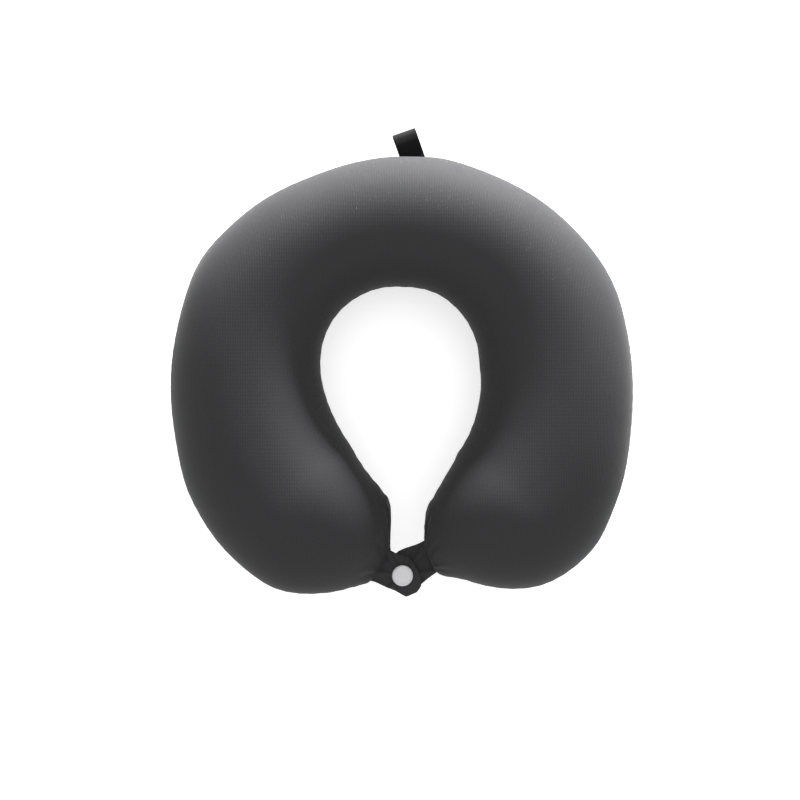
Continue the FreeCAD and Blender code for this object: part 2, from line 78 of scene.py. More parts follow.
# Sections of the stuffed tube round the ring, millimetres: angle from +X towards +Y, radius of
# the neck side and radius of the outer side. The left arm's angles are mirrored.
SECTIONS = {
    "right": (
        (90, 57.5, 137.7), (70, 57.7, 137.8), (50, 55.8, 139.6), (30, 52.0, 140.3),
        (10, 48.2, 139.8), (-10, 48.0, 141.5), (-28, 49.5, 148.0), (-43, 52.0, 152.3),
        (-55, 55.0, 148.3), (-64, 59.6, 139.0), (-69, 63.9, 131.8), (-74, 70.2, 123.8),
        (-79, 80.6, 118.6), (-81.5, 96.3, 115.6),
    ),
    "left": (
        (90, 57.5, 137.7), (70, 58.5, 137.4), (50, 58.0, 140.6), (30, 55.2, 142.4),
        (10, 51.0, 140.9), (-10, 47.4, 141.4), (-28, 46.3, 145.0), (-43, 47.3, 147.4),
        (-55, 49.8, 146.8), (-64, 53.9, 142.4), (-73, 60.4, 133.6), (-78, 65.8, 127.2),
        (-82.6, 76.5, 121.6), (-84, 102.5, 119.5),
    ),
}
TIP_SKEW = {"right": 1.2, "left": 2.3}
HALF_HEIGHTS = ((90, 43.0), (50, 43.0), (20, 43.5), (-5, 44.0), (-45, 44.5))
LOBE_ANGLE = -45
TIP_HALF_HEIGHT = 1.6
HEIGHT_CLOSING = 0.58


# Settings ---------------------------------------------------------------------------------------

def length_property(name, description, default):
    """Length in metres, given here in millimetres."""
    return bpy.props.FloatProperty(
        name=name, description=description, default=default * MM, unit="LENGTH", precision=4
    )


def colour_property(name, description, default):
    """Linear colour of three parts."""
    return bpy.props.FloatVectorProperty(
        name=name, description=description, default=default, subtype="COLOR", size=3, min=0, max=1
    )


class PillowCoverSettings(bpy.types.PropertyGroup):
    """Cloth, seam and stuffing of the cover."""

    colour: colour_property("Knit colour", "Charcoal of the stretch knit", (0.027, 0.027, 0.0285))
    rib_pitch: length_property("Rib pitch", "Distance between two ribs of the knit", 1.0)
    wall: length_property("Cloth thickness", "Thickness of the laminated knit", 1.0)
    seam_depth: length_property("Seam depth", "How far the edge seam pulls in", 1.1)
    seam_width: length_property("Seam width", "Half width of the valley at the seam", 2.6)
    pucker_pitch: length_property("Pucker pitch", "Distance between puckers along the seam", 8.0)
    pucker_depth: length_property("Pucker depth", "Height of the puckers beside the seam", 0.17)
    settle_cap: length_property("Settling", "Most that the cloth may move as it settles", 1.5)
    welt: length_property("Welt height", "How far the folded cloth stands up beside the zip", 0.7)
    columns: bpy.props.IntProperty(name="Columns", description="Rings of cloth per side", default=220)


class PillowTabSettings(bpy.types.PropertyGroup):
    """Cloth tabs at the tips."""

    wall: length_property("Tab thickness", "Thickness of the folded strip", 1.7)
    pleat_depth: length_property("Pleat depth", "Depth of the gathers where a tab is sewn on", 1.0)


class PillowSnapSettings(bpy.types.PropertyGroup):
    """Resin snap fastener."""

    colour: colour_property("Resin colour", "Light grey of the snap", (0.53, 0.53, 0.54))
    rim: length_property("Cap rim", "Rounding of the cap's rim", 0.9)


class PillowLoopSettings(bpy.types.PropertyGroup):
    """Webbing hang loop."""

    colour: colour_property("Webbing colour", "Black of the webbing", (0.0045, 0.0045, 0.005))
    width: length_property("Webbing width", "Width of the webbing", 14.6)
    wall: length_property("Webbing thickness", "Thickness of one layer", 1.3)
    lean: bpy.props.FloatProperty(
        name="Lean", description="How far the loop leans to the left", default=math.radians(19.5),
        subtype="ANGLE"
    )
    yarn_pitch: length_property("Yarn pitch", "Distance between the webbing's yarns", 1.1)


class PillowZipSettings(bpy.types.PropertyGroup):
    """Coil zip in the underside."""

    colour: colour_property("Tape colour", "Near black of the tape and coil", (0.022, 0.022, 0.024))
    tooth_pitch: length_property("Tooth pitch", "Distance between two turns of the coil", 1.3)


class PillowStageSettings(bpy.types.PropertyGroup):
    """Floor, lamps and camera."""

    floor_colour: colour_property("Floor colour", "Pale floor", (0.92, 0.92, 0.92))
    key_power: bpy.props.FloatProperty(
        name="Key lamp", description="Power of the low lamp behind the back", default=310.0, unit="POWER"
    )
    top_power: bpy.props.FloatProperty(
        name="Top lamp", description="Power of the broad lamp overhead", default=25.0, unit="POWER"
    )
    camera_distance: bpy.props.FloatProperty(
        name="Camera distance", description="Height of the camera", default=2.4, unit="LENGTH"
    )


SETTINGS = {
    "pillow_cover": PillowCoverSettings,
    "pillow_tabs": PillowTabSettings,
    "pillow_snap": PillowSnapSettings,
    "pillow_loop": PillowLoopSettings,
    "pillow_zip": PillowZipSettings,
    "pillow_stage": PillowStageSettings,
}


# Small mathematics ------------------------------------------------------------------------------

def smooth(start, end, value):
    """0 before start, 1 after end and a soft step between."""
    share = np.clip((value - start) / (end - start), 0, 1)
    return share * share * (3 - 2 * share)


def bump(value, width):
    """Soft bell of height 1."""
    return np.exp(-((value / width) ** 2))


def through(knots, values, where):
    """Smooth curve through a few knots (monotone cubic), read at the places asked for."""
    knots = np.asarray(knots, float)
    values = np.asarray(values, float)
    if knots[0] > knots[-1]:
        knots = knots[::-1]
        values = values[::-1]
    steps = np.diff(knots)
    slopes = np.diff(values) / steps
    tangents = np.zeros(len(values))
    same = slopes[:-1] * slopes[1:] > 0
    weights = (steps[:-1] * slopes[1:] + steps[1:] * slopes[:-1]) / (steps[:-1] + steps[1:])
    limit = 3 * np.minimum(np.abs(slopes[:-1]), np.abs(slopes[1:]))
    middle = np.sign(weights) * np.minimum(np.abs(weights), limit)
    tangents[1:-1] = np.where(same, middle, 0)
    tangents[0] = 1.5 * slopes[0] - tangents[1] / 2
    tangents[-1] = 1.5 * slopes[-1] - tangents[-2] / 2
    where = np.clip(where, knots[0], knots[-1])
    index = np.clip(np.searchsorted(knots, where) - 1, 0, len(steps) - 1)
    share = (where - knots[index]) / steps[index]
    rise = values[index + 1] - values[index]
    first = steps[index] * tangents[index]
    last = steps[index] * tangents[index + 1]
    return (
        values[index] + first * share + (3 * rise - 2 * first - last) * share ** 2
        + (first + last - 2 * rise) * share ** 3
    )


def smooth_path(points, count):
    """Points along a smooth curve through a few given points."""
    points = np.asarray(points, float)
    knots = distance_along(points)
    where = np.linspace(0, knots[-1], count)
    return np.stack([through(knots, points[:, axis], where) for axis in range(points.shape[1])], 1)


def distance_along(line):
    """Distance of each point from the first one, along a line of points."""
    return np.concatenate([[0], np.cumsum(np.linalg.norm(np.diff(line, axis=0), axis=1))])


def wander(values, seed, scale):
    """Smooth random curve between -1 and 1 along an array of places."""
    phases = np.random.default_rng(seed).uniform(0, 2 * math.pi, 4)
    waves = [np.sin(values / scale * rate + phase) for rate, phase in zip((1.0, 1.7, 2.9, 4.3), phases)]
    return (waves[0] + 0.7 * waves[1] + 0.5 * waves[2] + 0.3 * waves[3]) / 2.5


# Meshes -----------------------------------------------------------------------------------------

def new_object(name, vertices, faces, material, smooth_faces=True):
    """Mesh object from points in metres."""
    mesh = bpy.data.meshes.new(name)
    mesh.from_pydata([tuple(point) for point in vertices], [], [tuple(face) for face in faces])
    mesh.polygons.foreach_set("use_smooth", [smooth_faces] * len(mesh.polygons))
    mesh.materials.append(material)
    mesh.update()
    item = bpy.data.objects.new(name, mesh)
    bpy.context.scene.collection.objects.link(item)
    return item


def grid_faces(rows, columns, wrap_rows=False, wrap_columns=False):
    """Quads of a grid whose points run along the columns first."""
    faces = []
    for row in range(rows if wrap_rows else rows - 1):
        for column in range(columns if wrap_columns else columns - 1):
            next_row = (row + 1) % rows
            next_column = (column + 1) % columns
            faces.append((
                row * columns + column, row * columns + next_column,
                next_row * columns + next_column, next_row * columns + column,
            ))
    return faces


def tube_faces(rows, columns):
    """Faces of a grid that wraps round along its rows, with one face over each end."""
    first = [row * columns for row in range(rows)]
    last = [row * columns + columns - 1 for row in reversed(range(rows))]
    return grid_faces(rows, columns, wrap_rows=True) + [first, last]


def strip_faces(rows, columns):
    """Faces of a grid that wraps round along its columns, with one face over each end."""
    last = [(rows - 1) * columns + column for column in reversed(range(columns))]
    return grid_faces(rows, columns, wrap_columns=True) + [range(columns), last]


def grid_object(name, points, material, **wraps):
    """Mesh object of a grid of points, shape (rows, columns, 3)."""
    rows, columns = points.shape[:2]
    return new_object(name, points.reshape(-1, 3), grid_faces(rows, columns, **wraps), material)


def grid_normals(points, wrap_rows=False):
    """Unit normals of a grid, from the slopes along its rows and columns."""
    if wrap_rows:
        along = np.roll(points, -1, 0) - np.roll(points, 1, 0)
    else:
        along = np.gradient(points, axis=0)
    across = np.gradient(points, axis=1)
    normals = np.cross(across, along)
    return normals / np.maximum(np.linalg.norm(normals, axis=2, keepdims=True), 1e-9)


def add_uv(item, coordinates):
    """Flat pattern coordinates, in metres, one pair for each vertex."""
    layer = item.data.uv_layers.new(name="Pattern")
    corners = np.empty(len(item.data.loops), int)
    item.data.loops.foreach_get("vertex_index", corners)
    layer.data.foreach_set("uv", np.asarray(coordinates)[corners].ravel())


def apply_modifiers(item):
    """Replace the mesh by its result with all modifiers."""
    shown = bpy.context.evaluated_depsgraph_get()
    result = bpy.data.meshes.new_from_object(item.evaluated_get(shown))
    item.modifiers.clear()
    old = item.data
    item.data = result
    bpy.data.meshes.remove(old)


def turned_object(name, profile, centre, material, steps=72):
    """Body of revolution about a vertical axis, from a closed profile of radius and height."""
    angles = np.linspace(0, 2 * math.pi, steps, endpoint=False)
    profile = np.asarray(profile, float)
    points = np.stack([
        np.outer(profile[:, 0], np.cos(angles)) + centre.x,
        np.outer(profile[:, 0], np.sin(angles)) + centre.y,
        np.repeat(profile[:, 1:2], steps, 1),
    ], 2)
    item = grid_object(name, points, material, wrap_rows=True, wrap_columns=True)
    weld(item)
    return item


def weld(item, distance=1e-6):
    """Merge doubled points, drop empty faces and turn the faces outwards."""
    work = bmesh.new()
    work.from_mesh(item.data)
    bmesh.ops.remove_doubles(work, verts=work.verts, dist=distance)
    bmesh.ops.dissolve_degenerate(work, edges=work.edges, dist=distance)
    bmesh.ops.recalc_face_normals(work, faces=work.faces)
    work.to_mesh(item.data)
    work.free()
    item.data.update()


def strip_object(name, points, material, pattern=None, distance=1e-6):
    """Closed strip or wire from a grid of points in millimetres whose columns run round it."""
    item = new_object(name, points.reshape(-1, 3) * MM, strip_faces(*points.shape[:2]), material)
    if pattern is not None:
        add_uv(item, pattern)
    weld(item, distance)
    return item


def rounded_profile(corners, radii, steps=5):
    """Closed outline with each corner rounded by its own radius."""
    corners = [Vector(corner) for corner in corners]
    outline = []
    for index, (corner, radius) in enumerate(zip(corners, radii)):
        before = (corners[index - 1] - corner).normalized()
        after = (corners[(index + 1) % len(corners)] - corner).normalized()
        if radius <= 0:
            outline.append(tuple(corner))
            continue
        start = corner + before * radius
        end = corner + after * radius
        for step in range(steps + 1):
            share = step / steps
            outline.append(tuple(
                start * (1 - share) ** 2 + corner * 2 * share * (1 - share) + end * share ** 2
            ))
    return outline


# Materials --------------------------------------------------------------------------------------

class Shader:
    """Material under construction: adds nodes and links them."""

    def __init__(self, name, colour, roughness, **fixed):
        self.material = bpy.data.materials.new(name)
        self.material.use_nodes = True
        self.tree = self.material.node_tree
        self.surface = self.tree.nodes["Principled BSDF"]
        self.set_input(self.surface, "Base Color", (*colour, 1.0))
        self.set_input(self.surface, "Roughness", roughness)
        for label, number in fixed.items():
            self.set_input(self.surface, label.replace("_", " "), number)

    def set_input(self, node, label, number):
        """Set a socket's own value, or link it if the value is a socket."""
        if isinstance(number, bpy.types.NodeSocket):
            self.tree.links.new(number, node.inputs[label])
        else:
            node.inputs[label].default_value = number

    def add(self, kind, settings=None, **inputs):
        """Node of a kind, with its settings and inputs."""
        node = self.tree.nodes.new(kind)
        for label, number in (settings or {}).items():
            setattr(node, label, number)
        for label, number in inputs.items():
            key = int(label[1:]) if label[0] == "i" and label[1:].isdigit() else label.replace("_", " ")
            self.set_input(node, key, number)
        return node

    def coordinates(self, kind="Object"):
        """Coordinates of a kind: Object in metres or UV."""
        return self.add("ShaderNodeTexCoord").outputs[kind]

    def waves(self, vector, direction, pitch, distortion=0.0):
        """Sine bands a pitch apart along one axis."""
        scale = 2 * math.pi / (20 * pitch)
        node = self.add(
            "ShaderNodeTexWave", {"bands_direction": direction, "wave_profile": "SIN"},
            Vector=vector, Scale=scale, Distortion=distortion, Detail=1.0
        )
        return node.outputs["Fac"]

    def noise(self, vector, scale, detail=3.0):
        """Noise with features about 1 / scale metres across."""
        node = self.add("ShaderNodeTexNoise", None, Vector=vector, Scale=scale, Detail=detail)
        return node.outputs["Fac"]

    def math(self, operation, first, second):
        """Mathematics on two values."""
        node = self.add("ShaderNodeMath", {"operation": operation}, i0=first, i1=second)
        return node.outputs["Value"]

    def mix_colour(self, share, first, second):
        """Colour between two, by a share."""
        node = self.add("ShaderNodeMix", {"data_type": "RGBA"})
        self.set_input(node, 0, share)
        self.set_input(node, 6, (*first, 1.0))
        self.set_input(node, 7, (*second, 1.0))
        return node.outputs[2]

    def spread(self, value, low, high):
        """Map a value from 0..1 to another range."""
        node = self.add("ShaderNodeMapRange", None, Value=value)
        self.set_input(node, "To Min", low)
        self.set_input(node, "To Max", high)
        return node.outputs["Result"]

    def relief(self, height, distance, strength=1.0):
        """Raise the surface by a height map."""
        node = self.add(
            "ShaderNodeBump", None, Height=height, Distance=distance, Strength=strength
        )
        self.set_input(self.surface, "Normal", node.outputs["Normal"])


def shade(colour, factor):
    """Colour made lighter or darker."""
    return tuple(min(part * factor, 1.0) for part in colour)


def knit_material(settings):
    """Charcoal fine ribbed stretch knit with a soft sheen."""
    shader = Shader(
        "charcoal_knit", settings.colour, 0.78, Sheen_Weight=0.05, Sheen_Roughness=0.4,
        Specular_IOR_Level=0.14
    )
    pattern = shader.coordinates("UV")
    ribs = shader.waves(pattern, "X", settings.rib_pitch)
    courses = shader.waves(pattern, "Y", settings.rib_pitch * 0.8, 0.4)
    fuzz = shader.noise(pattern, 2600, 2)
    broad = shader.noise(shader.coordinates(), 22, 3)
    height = shader.math("ADD", ribs, shader.math("MULTIPLY", courses, 0.35))
    height = shader.math("ADD", height, shader.math("MULTIPLY", fuzz, 0.5))
    tone = shader.math("ADD", shader.math("MULTIPLY", ribs, 0.35), shader.math("MULTIPLY", fuzz, 0.4))
    tone = shader.math("ADD", tone, shader.math("MULTIPLY", broad, 0.35))
    tint = shader.mix_colour(tone, shade(settings.colour, 0.74), shade(settings.colour, 1.28))
    shader.set_input(shader.surface, "Base Color", tint)
    shader.set_input(shader.surface, "Roughness", shader.spread(broad, 0.72, 0.84))
    shader.relief(height, 0.00012, 0.55)
    return shader.material


def plain_cloth(name, colour, pitch, strength=0.5, sheen=0.2):
    """Plain woven cloth."""
    shader = Shader(name, colour, 0.85, Sheen_Weight=sheen, Sheen_Roughness=0.4)
    place = shader.coordinates()
    warp = shader.waves(place, "X", pitch)
    weft = shader.waves(place, "Y", pitch)
    fuzz = shader.noise(place, 1500, 2)
    weave = shader.math("ABSOLUTE", shader.math("SUBTRACT", warp, weft), 0.0)
    tone = shader.math("ADD", shader.math("MULTIPLY", weave, 0.5), shader.math("MULTIPLY", fuzz, 0.5))
    tint = shader.mix_colour(tone, shade(colour, 0.7), shade(colour, 1.35))
    shader.set_input(shader.surface, "Base Color", tint)
    shader.relief(shader.math("ADD", weave, fuzz), 0.00012, strength)
    return shader.material


def webbing_material(settings):
    """Black flat webbing: yarns that cross over and under along the strip."""
    shader = Shader("black_webbing", settings.colour, 0.8, Specular_IOR_Level=0.15)
    pattern = shader.coordinates("UV")
    across = shader.waves(pattern, "X", settings.yarn_pitch)
    along = shader.waves(pattern, "Y", settings.yarn_pitch * 1.6)
    weave = shader.math("ABSOLUTE", shader.math("SUBTRACT", across, along), 0.0)
    fibres = shader.noise(pattern, 3000, 2)
    tone = shader.math("ADD", shader.math("MULTIPLY", weave, 0.6), shader.math("MULTIPLY", fibres, 0.4))
    tint = shader.mix_colour(tone, shade(settings.colour, 0.5), shade(settings.colour, 1.9))
    shader.set_input(shader.surface, "Base Color", tint)
    shader.relief(shader.math("ADD", weave, shader.math("MULTIPLY", fibres, 0.4)), 0.00025, 0.9)
    return shader.material


def moulded_material(name, colour, roughness, **fixed):
    """Moulded resin or painted metal with a faint orange peel and rubbed patches."""
    shader = Shader(name, colour, roughness, **fixed)
    place = shader.coordinates()
    patches = shader.noise(place, 350, 3)
    grain = shader.noise(place, 2400, 2)
    tint = shader.mix_colour(patches, shade(colour, 0.9), shade(colour, 1.08))
    shader.set_input(shader.surface, "Base Color", tint)
    low = roughness * 0.8
    shader.set_input(shader.surface, "Roughness", shader.spread(patches, low, roughness * 1.2))
    shader.relief(grain, 0.00003, 0.35)
    return shader.material


def bead_material():
    """White foam beads seen as a packed mass, with painted shade in the gaps between the beads."""
    shader = Shader("foam_beads", (0.85, 0.85, 0.84), 0.8)
    cells = shader.add("ShaderNodeTexVoronoi", None, Vector=shader.coordinates(), Scale=900.0)
    distance = cells.outputs["Distance"]
    # painted shade: each bead cell is darkened from its centre towards the gaps between the beads
    tint = shader.mix_colour(distance, (0.9, 0.9, 0.89), (0.6, 0.6, 0.59))
    shader.set_input(shader.surface, "Base Color", tint)
    shader.relief(distance, 0.0008, 1.0)
    return shader.material


# Stuffed tube -----------------------------------------------------------------------------------

def column_angles(side, shares):
    """Angles of the sections, from the middle of the back (share 0) to the tip (share 1)."""
    last = SECTIONS[side][-1][0]
    return 90 + (last - 90) * (0.6 * shares + 0.4 * np.sin(shares * math.pi / 2))


def side_points(side, shares, turns, inset=0.0, end=1.0):
    """Points of one side in millimetres, shape (turns, shares, 3).

    A turn is the angle round a section: 0 at the outer seam, 90 on top and 180 at the inner seam.
    """
    angles = column_angles(side, shares * end)
    table = np.array(SECTIONS[side], float)
    inner = through(table[:, 0], table[:, 1], angles)
    outer = through(table[:, 0], table[:, 2], angles)
    middle = (inner + outer) / 2
    half_width = (outer - inner) / 2
    heights = np.array(HALF_HEIGHTS, float)
    half_height = through(heights[:, 0], heights[:, 1], np.maximum(angles, LOBE_ANGLE))
    closing = np.clip((LOBE_ANGLE - angles) / (LOBE_ANGLE - table[-1, 0]), 0, 1)
    closed = (1 - closing ** 2.2) ** HEIGHT_CLOSING
    half_height = TIP_HALF_HEIGHT + (half_height - TIP_HALF_HEIGHT) * closed
    half_width = half_width - np.minimum(inset, half_width * 0.8)
    half_height = half_height - np.minimum(inset, half_height * 0.8)

    turns = np.radians(turns)[:, None]
    fullness = 2.0 + 0.28 * (1 - closing ** 2)
    across = np.abs(np.cos(turns)) ** fullness + np.abs(np.sin(turns)) ** fullness
    reach = across ** (-1 / fullness)
    out = np.cos(turns) * reach
    up = np.sin(turns) * reach
    skewed = np.radians(angles + TIP_SKEW[side] * smooth(0, 1, closing) * out)
    radius = middle + half_width * out
    sign = 1 if side == "right" else -1
    return np.stack([
        sign * radius * np.cos(skewed), radius * np.sin(skewed), SEAM / MM + half_height * up
    ], 2)


def ring_points(shares, turns, **options):
    """Points of the whole ring, from the left tip over the back to the right tip."""
    left = side_points("left", shares, turns, **options)
    right = side_points("right", shares, turns, **options)
    right[:, 0] = left[:, 0] = (right[:, 0] + left[:, 0]) / 2
    return np.concatenate([left[:, :0:-1], right], 1)


def seam_distances(points):
    """Distance of each point from the outer and from the inner seam, along the cloth."""
    steps = np.linalg.norm(np.diff(points, axis=0), axis=2)
    start = np.zeros((1, points.shape[1]))
    walked = np.concatenate([start, np.cumsum(steps, 0)])
    return walked, walked[-1] - walked


def spaced_turns(first, last, count, crowded):
    """Section angles between two seams, closer together near the given ones."""
    fine = np.linspace(first, last, 2000)
    density = np.ones_like(fine)
    for centre, width, gain in crowded:
        density += gain * bump(fine - centre, width)
    total = np.cumsum(density)
    total = (total - total[0]) / (total[-1] - total[0])
    return np.interp(np.linspace(0, 1, count), total, fine)


# Zip line ---------------------------------------------------------------------------------------

# The zip follows an arc round the pillow's middle on the lower outer side of the back
ZIP_BULGE = 44.98
ZIP_BULGE_RADIUS = 93.02
ZIP_SLOPE = -28.0
ZIP_ENDS = (50.0, 130.0)
TAPE_EDGE = 5.0
SLOT_EDGE = 3.7


def zip_point(angle, sideways, height):
    """Point in millimetres from the angle round the pillow, the way up the cloth and the height."""
    angle = np.radians(angle)
    slope = math.radians(ZIP_SLOPE) + np.asarray(sideways) / ZIP_BULGE
    reach = ZIP_BULGE + np.asarray(height)
    radius = ZIP_BULGE_RADIUS + reach * np.cos(slope)
    parts = (radius * np.cos(angle), radius * np.sin(angle), SEAM / MM + reach * np.sin(slope))
    return np.stack(np.broadcast_arrays(*parts), -1)


def folded_edges(sideways, beyond, wall, welt):
    """Height of the cover beside the zip: sunk under the tapes, folded over their outer edges."""
    fold = wall + welt * bump(sideways - SLOT_EDGE - 0.9, 1.4)
    height = fold * smooth(SLOT_EDGE - 0.25, SLOT_EDGE + 0.25, sideways)
    height = height * (1 - smooth(TAPE_EDGE, TAPE_EDGE + 3.5, sideways))
    height = height - 0.3 * (1 - smooth(SLOT_EDGE - 0.25, SLOT_EDGE + 0.1, sideways))
    return height * (1 - smooth(0.3, 1.6, beyond))


def lay_on_zip(points, profile):
    """Bring the lower outer side of the back onto the zip's arc, plus a profile's height."""
    radius = np.hypot(points[..., 0], points[..., 1])
    angle = np.degrees(np.arctan2(points[..., 1], points[..., 0]))
    out = radius - ZIP_BULGE_RADIUS
    up = points[..., 2] - SEAM / MM
    reach = np.hypot(out, up)
    slope = np.arctan2(up, out)
    sideways = np.abs(slope - math.radians(ZIP_SLOPE)) * ZIP_BULGE
    beyond = np.abs(angle - 90) - (ZIP_ENDS[1] - ZIP_ENDS[0]) / 2
    weight = (1 - smooth(8, 22, sideways)) * (1 - smooth(1.5, 12, beyond))
    reach = reach + weight * (ZIP_BULGE + profile(sideways, beyond) - reach)
    radius = ZIP_BULGE_RADIUS + reach * np.cos(slope)
    turn = np.radians(angle)
    moved = np.stack([
        radius * np.cos(turn), radius * np.sin(turn), SEAM / MM + reach * np.sin(slope)
    ], -1)
    return np.where(weight[..., None] > 0, moved, points)


# Cloth settling ---------------------------------------------------------------------------------

SETTLE_COLUMNS = 96
SETTLE_TURNS = 48
SETTLE_FRAMES = 14
SETTLE_EVENINGS = 8


def settle_cloth(cap):
    """Blow the cover up as cloth with tight seams, and give back how each coarse point moved.

    The movement is evened out, because a full pillow has no creases, and stays under the cap.
    """
    shares = np.linspace(0, 1, SETTLE_COLUMNS)
    turns = np.linspace(0, 360, SETTLE_TURNS, endpoint=False)
    start = ring_points(shares, turns, inset=0.8)
    rows, columns = start.shape[:2]
    bare = bpy.data.materials.new("bare")
    item = new_object("settling_cloth", start.reshape(-1, 3) * MM, tube_faces(rows, columns), bare)
    seams = item.vertex_groups.new(name="tight")
    for row in (0, SETTLE_TURNS // 2):
        seams.add([row * columns + column for column in range(columns)], 1.0, "REPLACE")
    for row in (1, SETTLE_TURNS - 1, SETTLE_TURNS // 2 - 1, SETTLE_TURNS // 2 + 1):
        seams.add([row * columns + column for column in range(columns)], 0.5, "REPLACE")
    cloth = item.modifiers.new("Cloth", "CLOTH")
    cloth.settings.quality = 6
    cloth.settings.mass = 0.2
    cloth.settings.tension_stiffness = 25
    cloth.settings.compression_stiffness = 25
    cloth.settings.shear_stiffness = 8
    cloth.settings.bending_stiffness = 1.5
    cloth.settings.use_pressure = True
    cloth.settings.uniform_pressure_force = 4
    cloth.settings.vertex_group_shrink = "tight"
    cloth.settings.shrink_min = 0.0
    cloth.settings.shrink_max = 0.02
    cloth.settings.effector_weights.gravity = 0
    cloth.point_cache.frame_start = 1
    cloth.point_cache.frame_end = SETTLE_FRAMES
    scene = bpy.context.scene
    for number in range(1, SETTLE_FRAMES + 1):
        scene.frame_set(number)
    shown = bpy.context.evaluated_depsgraph_get()
    settled = np.empty(len(item.data.vertices) * 3)
    item.evaluated_get(shown).data.vertices.foreach_get("co", settled)
    scene.frame_set(1)
    move = settled.reshape(rows, columns, 3) / MM - start
    move -= move.mean((0, 1))
    mesh = item.data
    bpy.data.objects.remove(item)
    bpy.data.meshes.remove(mesh)
    bpy.data.materials.remove(bare)
    for _ in range(SETTLE_EVENINGS):
        move = (np.roll(move, 1, 0) + 2 * move + np.roll(move, -1, 0)) / 4
        move[:, 1:-1] = (move[:, :-2] + 2 * move[:, 1:-1] + move[:, 2:]) / 4
    length = np.linalg.norm(move, axis=2, keepdims=True)
    return move * cap / (cap + length)


def read_settling(move, shares, turns):
    """Settled movement read at other sections and turns."""
    whole = np.concatenate([-shares[:0:-1], shares])
    places = (whole + 1) / 2 * (move.shape[1] - 1)
    rows = (turns % 360) / 360 * move.shape[0]
    low = np.clip(np.floor(places).astype(int), 0, move.shape[1] - 2)
    part = (places - low)[None, :, None]
    first = np.floor(rows).astype(int) % move.shape[0]
    second = (first + 1) % move.shape[0]
    share = (rows - np.floor(rows))[:, None, None]
    near = move[first][:, low] * (1 - part) + move[first][:, low + 1] * part
    far = move[second][:, low] * (1 - part) + move[second][:, low + 1] * part
    taper = (1 - smooth(0.86, 0.97, np.abs(whole)))[None, :, None]
    return (near * (1 - share) + far * share) * taper


# Cover ------------------------------------------------------------------------------------------

PANELS = {"top": (0, 180), "bottom": (0, -180)}


def panel_points(panel, shares, turns, settings, settled):
    """Outer surface of one panel of the cover, with its seams, gathers and zip edges."""
    points = ring_points(shares, turns)
    if settled is not None:
        points = points + read_settling(settled, shares, turns)
    normals = grid_normals(points)
    centre = points.mean(0, keepdims=True)
    outwards = np.sign(np.sum(normals * (points - centre), axis=2).mean())
    normals = normals * outwards
    outer_way, inner_way = seam_distances(points)
    relief = np.zeros(points.shape[:2])
    for edge, way, seed in ((0, outer_way, 3), (-1, inner_way, 11)):
        walked = distance_along(points[edge])
        walked = walked - walked[len(walked) // 2]
        ripple = np.sin(walked / (settings.pucker_pitch / MM) * 2 * math.pi + 2.2 * wander(walked, seed, 18))
        ripple = ripple * (0.6 + 0.4 * wander(walked, seed + 1, 25))
        depth = settings.seam_depth / MM * (1 + 0.15 * wander(walked, seed + 2, 30))
        relief -= depth * np.exp(-way / (settings.seam_width / MM))
        swell = way / 2.5 * np.exp(1 - way / 2.5)
        relief += settings.pucker_depth / MM * ripple * swell
    whole = np.abs(np.concatenate([-shares[:0:-1], shares]))
    gathered = smooth(0.93, 1.0, whole)
    folds = np.sin(np.radians(turns) * 15 + 0.6)[:, None] + 0.5 * np.sin(np.radians(turns) * 23)[:, None]
    relief += 0.45 * gathered * (1 - smooth(0.985, 1, whole)) * folds
    points = points + normals * relief[..., None]
    base = np.array([5.8, BACK_OUTER / MM, SEAM / MM])
    pull = bump(np.linalg.norm(points - base, axis=2), 11)
    points[..., 1] -= 1.6 * pull
    if panel == "bottom":
        wall = settings.wall / MM + 0.5
        welt = settings.welt / MM
        points = lay_on_zip(points, lambda *place: folded_edges(*place, wall, welt))
    height = points[..., 2]
    points[..., 2] = (height + np.sqrt(height ** 2 + 0.9)) / 2
    return points


def flat_pattern(points, shares, turns):
    """Where each point lies on the flat cloth before sewing, in metres."""
    crown = np.argmin(np.abs(np.abs(turns) - 90))
    walked, _ = seam_distances(points)
    offset = walked[crown] - walked
    angle = np.arctan2(points[..., 1], points[..., 0])
    middle = np.hypot(points[crown, :, 0], points[crown, :, 1])
    radius = middle + offset
    return np.stack([radius * np.cos(angle), radius * np.sin(angle)], 2) * MM


def cloth_object(name, points, normals, pattern, wall, material):
    """Closed sheet of cloth: its outer face, its inner face and the edges between them."""
    rows, columns = points.shape[:2]
    count = rows * columns
    inside = points - normals * wall
    faces = grid_faces(rows, columns)
    faces += [tuple(count + index for index in reversed(face)) for face in faces]
    border = [row * columns for row in range(rows)]
    border += [(rows - 1) * columns + column for column in range(1, columns)]
    border += [row * columns + columns - 1 for row in range(rows - 2, -1, -1)]
    border += list(range(columns - 2, 0, -1))
    for index, here in enumerate(border):
        there = border[(index + 1) % len(border)]
        faces.append((here, there, count + there, count + here))
    vertices = np.concatenate([points.reshape(-1, 3), inside.reshape(-1, 3)]) * MM
    item = new_object(name, vertices, faces, material)
    outward(item, points, normals)
    both = np.concatenate([normals.reshape(-1, 3), -normals.reshape(-1, 3)])
    item.data.normals_split_custom_set_from_vertices([tuple(normal) for normal in both])
    add_uv(item, np.concatenate([pattern.reshape(-1, 2), pattern.reshape(-1, 2)]))
    return item


def outward(item, points, normals):
    """Turn all faces over if the outer face looks inwards."""
    first = item.data.polygons[len(item.data.polygons) // 4]
    wanted = normals.reshape(-1, 3)[first.vertices[0]]
    if first.normal.dot(Vector(wanted)) < 0:
        item.data.flip_normals()


